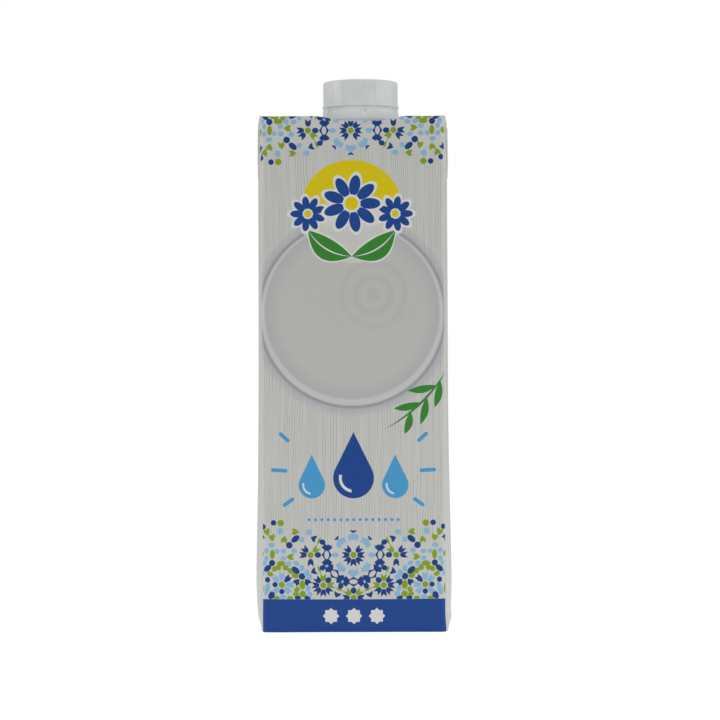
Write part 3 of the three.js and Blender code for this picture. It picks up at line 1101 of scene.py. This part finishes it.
def blocksRound(tree, size, count, radius, turn, block):  # blocks set round the closure's axis
    ring = Wire.made(tree, "GeometryNodeMeshCircle", None, {"Vertices": count, "Radius": radius * mm})
    spun = Wire.made(tree, "GeometryNodeTransform", None, {
        "Geometry": ring,
        "Rotation": joined(tree, 0.0, 0.0, turn * (math.pi / 180)),
    })
    spot = Wire.made(tree, "GeometryNodeInputPosition")
    facing = Wire.made(tree, "FunctionNodeAlignRotationToVector", {"axis": "X"}, {"Vector": spot})
    placed = Wire.made(tree, "GeometryNodeInstanceOnPoints", None,
                       {"Points": spun, "Instance": block, "Rotation": facing})
    real = Wire.made(tree, "GeometryNodeRealizeInstances", None, {"Geometry": placed})
    shift = joined(tree, size["middleX"], size["middleY"], size["top"])
    return Wire.made(tree, "GeometryNodeTransform", None, {"Geometry": real, "Translation": shift})


def bandTree():  # notches the ring's upper edge and sets the thin bridges up to the cap
    sizes = {**band, "gap": 1.0, "top": 0.0, "middleX": 0.0, "middleY": 0.0}
    tree, size = shapeTree("bandEdge", sizes)
    notchBox = joined(tree, size["notchReach"] * mm, size["notchWidth"] * mm, size["notchDepth"] * (2 * mm))
    notchBlock = Wire.made(tree, "GeometryNodeMeshCube", None, {"Size": notchBox})
    notches = blocksRound(tree, size, size["notches"], size["radius"], size["notchTurn"], notchBlock)
    bridgeBox = joined(tree, size["bridgeDepth"] * mm, size["bridgeWidth"] * mm, size["gap"] * (2 * mm))
    bridgeBlock = Wire.made(tree, "GeometryNodeMeshCube", None, {"Size": bridgeBox})
    bridges = blocksRound(tree, size, size["bridges"], size["bridgeRadius"], size["bridgeTurn"], bridgeBlock)
    cut = Wire.made(tree, "GeometryNodeMeshBoolean", {"operation": "DIFFERENCE", "solver": "EXACT"},
                    {"Mesh 1": size["Geometry"], "Mesh 2": notches})
    whole = Wire.made(tree, "GeometryNodeJoinGeometry", None, {0: bridges})
    tree.links.new(cut.socket, whole.socket.node.inputs[0])
    endTree(whole, bandLitMaterial)
    return tree


bandTop = bandLow.z + band["height"] * mm
bandSizes = {
    **band,
    "gap": (capLow.z - bandTop) / mm, "top": bandTop,
    "middleX": capMiddle.x, "middleY": capMiddle.y,
}
bandPiece = grown("tamper_ring", bandTree(), bandSizes, lathed("ringBody", bandProfile(), capMiddle))
dressed(bandPiece, "band_plastic", "tamper_band")
print("tamper ring:", len(bandPiece.data.polygons), "faces")

spout = {"flange": 15.9, "flangeHeight": 1.5, "edge": 0.4, "neck": 12.4}


def spoutProfile():
    low = spoutLow.z / mm
    shelf = low + spout["flangeHeight"]
    return [
        (0, low),
        (spout["flange"], low),
        *arc(spout["flange"] - spout["edge"], shelf - spout["edge"], spout["edge"], 0, 90),
        (spout["neck"], shelf),
        (spout["neck"], spoutHigh.z / mm),
        (0, spoutHigh.z / mm),
    ]


spoutMesh = lathed("spout_flange", spoutProfile(), capMiddle)
spoutMesh.materials.append(spoutMaterial)
spoutPiece = newObject("spout_flange", spoutMesh)
dressed(spoutPiece, "spout_plastic", "spout")
print("spout done")


# Stage: floor, light and camera

# bounce, bounceReach and bounceFull set the floor's painted glow round the carton, which stands in for
# bounced light
stage = {
    "floor": 12.0, "mottle": 3.0, "world": 0.34, "view": 1.0,
    "floorGlow": 0.85, "glow": 1.16, "bounce": 0.3, "bounceReach": 0.7, "bounceFull": 0.05,
}


def floorMaterial():  # almost white to the camera, with a trace of the shadow, and glowing round the carton as a painted pool of bounce light
    material, tree, shader = newMaterial("floorPaint", 0.9, 0.1)
    place = Wire.made(tree, "ShaderNodeTexCoord", None, None, "Object")
    feed(shader, "Base Color", blended(linear("e9e9e9"), linear("efefef"), noise(place, stage["mottle"])))
    x, y, z = parted(place)
    # painted light: the floor glows round the carton's foot, fading outwards, and lights the carton's lower
    # front though it is no lamp
    paintedGlowPool = smoothStep(distance(x, y), stage["bounceReach"], stage["bounceFull"])
    feed(shader, "Emission Color", blended((0, 0, 0, 1), (1, 1, 1, 1), paintedGlowPool))
    shader.inputs["Emission Strength"].default_value = stage["bounce"]
    seen = Wire.made(tree, "ShaderNodeLightPath", None, None, "Is Camera Ray")
    glow = Wire.made(tree, "ShaderNodeEmission", None, {"Strength": stage["glow"]})
    paint = Wire(tree, shader.outputs[0])
    both = Wire.made(tree, "ShaderNodeMixShader", None, {0: seen * stage["floorGlow"], 1: paint, 2: glow})
    tree.links.new(both.socket, tree.nodes["Material Output"].inputs["Surface"])
    return material


def makeFloor():
    half = stage["floor"]
    mesh = bpy.data.meshes.new("floor")
    corners = [(-half, -half, 0), (half, -half, 0), (half, half, 0), (-half, half, 0)]
    mesh.from_pydata(corners, [], [(0, 1, 2, 3)])
    mesh.materials.append(floorMaterial())
    newObject("floor", mesh)


def makeWorld():
    world = bpy.data.worlds.new("studio")
    bpy.context.scene.world = world
    world.use_nodes = True
    tree = world.node_tree
    background = tree.nodes["Background"]
    background.inputs["Color"].default_value = (1, 1, 1, 1)
    seen = Wire.made(tree, "ShaderNodeLightPath", None, None, "Is Camera Ray")
    strength = seen * (stage["view"] - stage["world"]) + stage["world"]
    tree.links.new(strength.socket, background.inputs["Strength"])


lamps = [  # name, place, aim, width, height, power
    ("topSoftbox", (0.0, -0.3, 1.3), (0.0, 0.0, 0.0), 1.6, 1.6, 4.5),
    ("leftSoftbox", (-1.2, -0.2, 0.4), (0.0, 0.0, 0.11), 0.8, 1.0, 3.2),
    ("rightSoftbox", (1.2, -0.2, 0.4), (0.0, 0.0, 0.11), 0.8, 1.0, 3.5),
    ("backSoftbox", (0.0, 1.2, 0.7), (0.0, 0.0, 0.11), 1.0, 0.8, 3.0),
]


def makeLamp(name, place, aim, width, height, power):
    lamp = bpy.data.lights.new(name, "AREA")
    lamp.shape = "RECTANGLE"
    lamp.size = width
    lamp.size_y = height
    lamp.energy = power
    holder = newObject(name, lamp)
    holder.location = place
    holder.rotation_euler = (Vector(aim) - Vector(place)).to_track_quat("-Z", "Y").to_euler()


photoCamera = {"away": 1.0, "x": 0.0027, "z": 0.1073, "lens": 127.1, "sensor": 36.0, "roll": 0.2}


def makeCamera():
    data = bpy.data.cameras.new("photoCamera")
    data.lens = photoCamera["lens"]
    data.sensor_width = photoCamera["sensor"]
    camera = newObject("photoCamera", data)
    camera.location = (photoCamera["x"], -halfDepth * mm - photoCamera["away"], photoCamera["z"])
    camera.rotation_euler = (math.pi / 2, math.radians(photoCamera["roll"]), 0)
    bpy.context.scene.camera = camera


makeFloor()
makeWorld()
for lampRow in lamps:
    makeLamp(*lampRow)
makeCamera()
bpy.context.scene.view_settings.view_transform = "Standard"
print("stage ready")
